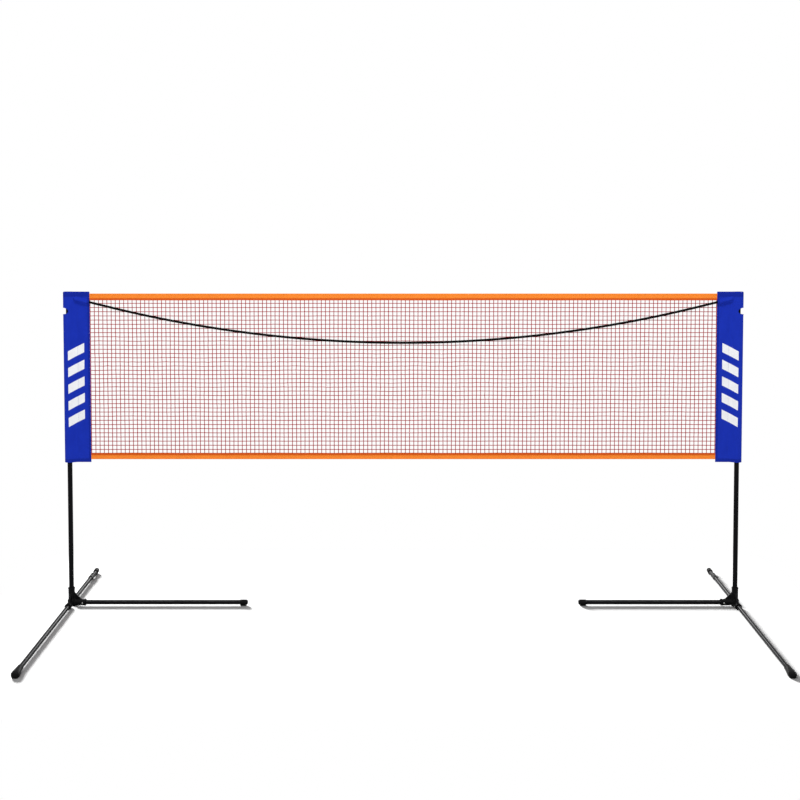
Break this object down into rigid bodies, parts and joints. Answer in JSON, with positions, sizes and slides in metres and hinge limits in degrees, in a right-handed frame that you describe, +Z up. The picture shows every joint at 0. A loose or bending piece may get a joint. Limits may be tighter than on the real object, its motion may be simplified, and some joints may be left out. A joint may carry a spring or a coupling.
{
  "type": "badminton net set",
  "caption": "Free-standing badminton net set: two telescopic tube posts on three-legged bases, fabric end sleeves, a mesh net between folded tapes and a hanging cord.",
  "frame": {"origin": "on the floor at the centre of the set's footprint", "axes": "+X along the net to the right post, +Y to the rear legs, +Z up"},
  "size_m": [3.106, 1.277, 1.454],
  "materials": {
    "painted_tube": "gloss black powder coat",
    "hub_plastic": "matt black moulded",
    "lock_plastic": "black moulded",
    "foot_rubber": "satin black",
    "spring_steel": "bright",
    "sleeve_fabric": "royal blue woven cloth",
    "tape_fabric": "orange folded tape",
    "net_string": "dark maroon twine",
    "edge_rope": "off-white rope",
    "black_cord": "black braided cord"
  },
  "bodies": {
    "bases": {"left_hub": "hub_plastic", "left_lower_post": "painted_tube", "left_height_collet": "lock_plastic", "left_inward_leg": "painted_tube", "left_inward_foot": "foot_rubber", "left_inward_spring": "spring_steel", "left_front_leg": "painted_tube", "left_front_foot": "foot_rubber", "left_front_spring": "spring_steel", "left_rear_outer_leg": "painted_tube", "left_rear_spring": "spring_steel", "left_rear_collet": "lock_plastic", "right_hub": "hub_plastic", "right_lower_post": "painted_tube", "right_height_collet": "lock_plastic", "right_inward_leg": "painted_tube", "right_inward_foot": "foot_rubber", "right_inward_spring": "spring_steel", "right_front_leg": "painted_tube", "right_front_foot": "foot_rubber", "right_front_spring": "spring_steel", "right_rear_outer_leg": "painted_tube", "right_rear_spring": "spring_steel", "right_rear_collet": "lock_plastic"},
    "net_carriage": {"net": "net_string", "top_tape": "tape_fabric", "bottom_tape": "tape_fabric", "head_rope": "edge_rope", "foot_rope": "edge_rope", "cord": "black_cord", "left_upper_post": "painted_tube", "left_upper_post_glide": "lock_plastic", "left_post_cap": "lock_plastic", "left_sleeve": "sleeve_fabric", "left_cord_tail": "black_cord", "right_upper_post": "painted_tube", "right_upper_post_glide": "lock_plastic", "right_post_cap": "lock_plastic", "right_sleeve": "sleeve_fabric", "right_cord_tail": "black_cord"},
    "left_height_collar_body": {"left_height_collar": "lock_plastic"},
    "left_rear_extension": {"left_rear_inner_leg": "painted_tube", "left_rear_leg_glide": "lock_plastic", "left_rear_foot": "foot_rubber"},
    "left_rear_collar_body": {"left_rear_collar": "lock_plastic"},
    "left_inward_button_body": {"left_inward_button": "spring_steel"},
    "left_front_button_body": {"left_front_button": "spring_steel"},
    "left_rear_button_body": {"left_rear_button": "spring_steel"},
    "right_height_collar_body": {"right_height_collar": "lock_plastic"},
    "right_rear_extension": {"right_rear_inner_leg": "painted_tube", "right_rear_leg_glide": "lock_plastic", "right_rear_foot": "foot_rubber"},
    "right_rear_collar_body": {"right_rear_collar": "lock_plastic"},
    "right_inward_button_body": {"right_inward_button": "spring_steel"},
    "right_front_button_body": {"right_front_button": "spring_steel"},
    "right_rear_button_body": {"right_rear_button": "spring_steel"}
  },
  "joints": [
    {"name": "net_height", "type": "slide", "parent": "bases", "child": "net_carriage", "axis": [0, 0, 1], "range_m": [-0.5, 0.1]},
    {"name": "left_height_collar_turn", "type": "hinge", "parent": "bases", "child": "left_height_collar_body", "pos_m": [-1.531, 0.1755, 0.86], "axis": [0, 0, 1], "range_deg": [0, 90]},
    {"name": "left_rear_leg_slide", "type": "slide", "parent": "bases", "child": "left_rear_extension", "axis": [0, 1, 0], "range_m": [-0.04, 0.14]},
    {"name": "left_rear_collar_turn", "type": "hinge", "parent": "bases", "child": "left_rear_collar_body", "pos_m": [-1.531, 0.5255, 0.0153], "axis": [0, 1, 0], "range_deg": [0, 90]},
    {"name": "left_inward_button_press", "type": "slide", "parent": "bases", "child": "left_inward_button_body", "axis": [0, 1, 0], "range_m": [0, 0.0052], "stiffness_N_per_m": 900, "springref_m": -0.002, "deforming": ["left_inward_spring"]},
    {"name": "left_front_button_press", "type": "slide", "parent": "bases", "child": "left_front_button_body", "axis": [1, 0, 0], "range_m": [0, 0.0052], "stiffness_N_per_m": 900, "springref_m": -0.002, "deforming": ["left_front_spring"]},
    {"name": "left_rear_button_press", "type": "slide", "parent": "bases", "child": "left_rear_button_body", "axis": [1, 0, 0], "range_m": [0, 0.0052], "stiffness_N_per_m": 900, "springref_m": -0.002, "deforming": ["left_rear_spring"]},
    {"name": "right_height_collar_turn", "type": "hinge", "parent": "bases", "child": "right_height_collar_body", "pos_m": [1.531, 0.1755, 0.86], "axis": [0, 0, 1], "range_deg": [0, 90]},
    {"name": "right_rear_leg_slide", "type": "slide", "parent": "bases", "child": "right_rear_extension", "axis": [0, 1, 0], "range_m": [-0.04, 0.14]},
    {"name": "right_rear_collar_turn", "type": "hinge", "parent": "bases", "child": "right_rear_collar_body", "pos_m": [1.531, 0.5255, 0.0153], "axis": [0, 1, 0], "range_deg": [0, 90]},
    {"name": "right_inward_button_press", "type": "slide", "parent": "bases", "child": "right_inward_button_body", "axis": [0, 1, 0], "range_m": [0, 0.0052], "stiffness_N_per_m": 900, "springref_m": -0.002, "deforming": ["right_inward_spring"]},
    {"name": "right_front_button_press", "type": "slide", "parent": "bases", "child": "right_front_button_body", "axis": [-1, 0, 0], "range_m": [0, 0.0052], "stiffness_N_per_m": 900, "springref_m": -0.002, "deforming": ["right_front_spring"]},
    {"name": "right_rear_button_press", "type": "slide", "parent": "bases", "child": "right_rear_button_body", "axis": [-1, 0, 0], "range_m": [0, 0.0052], "stiffness_N_per_m": 900, "springref_m": -0.002, "deforming": ["right_rear_spring"]}
  ]
}
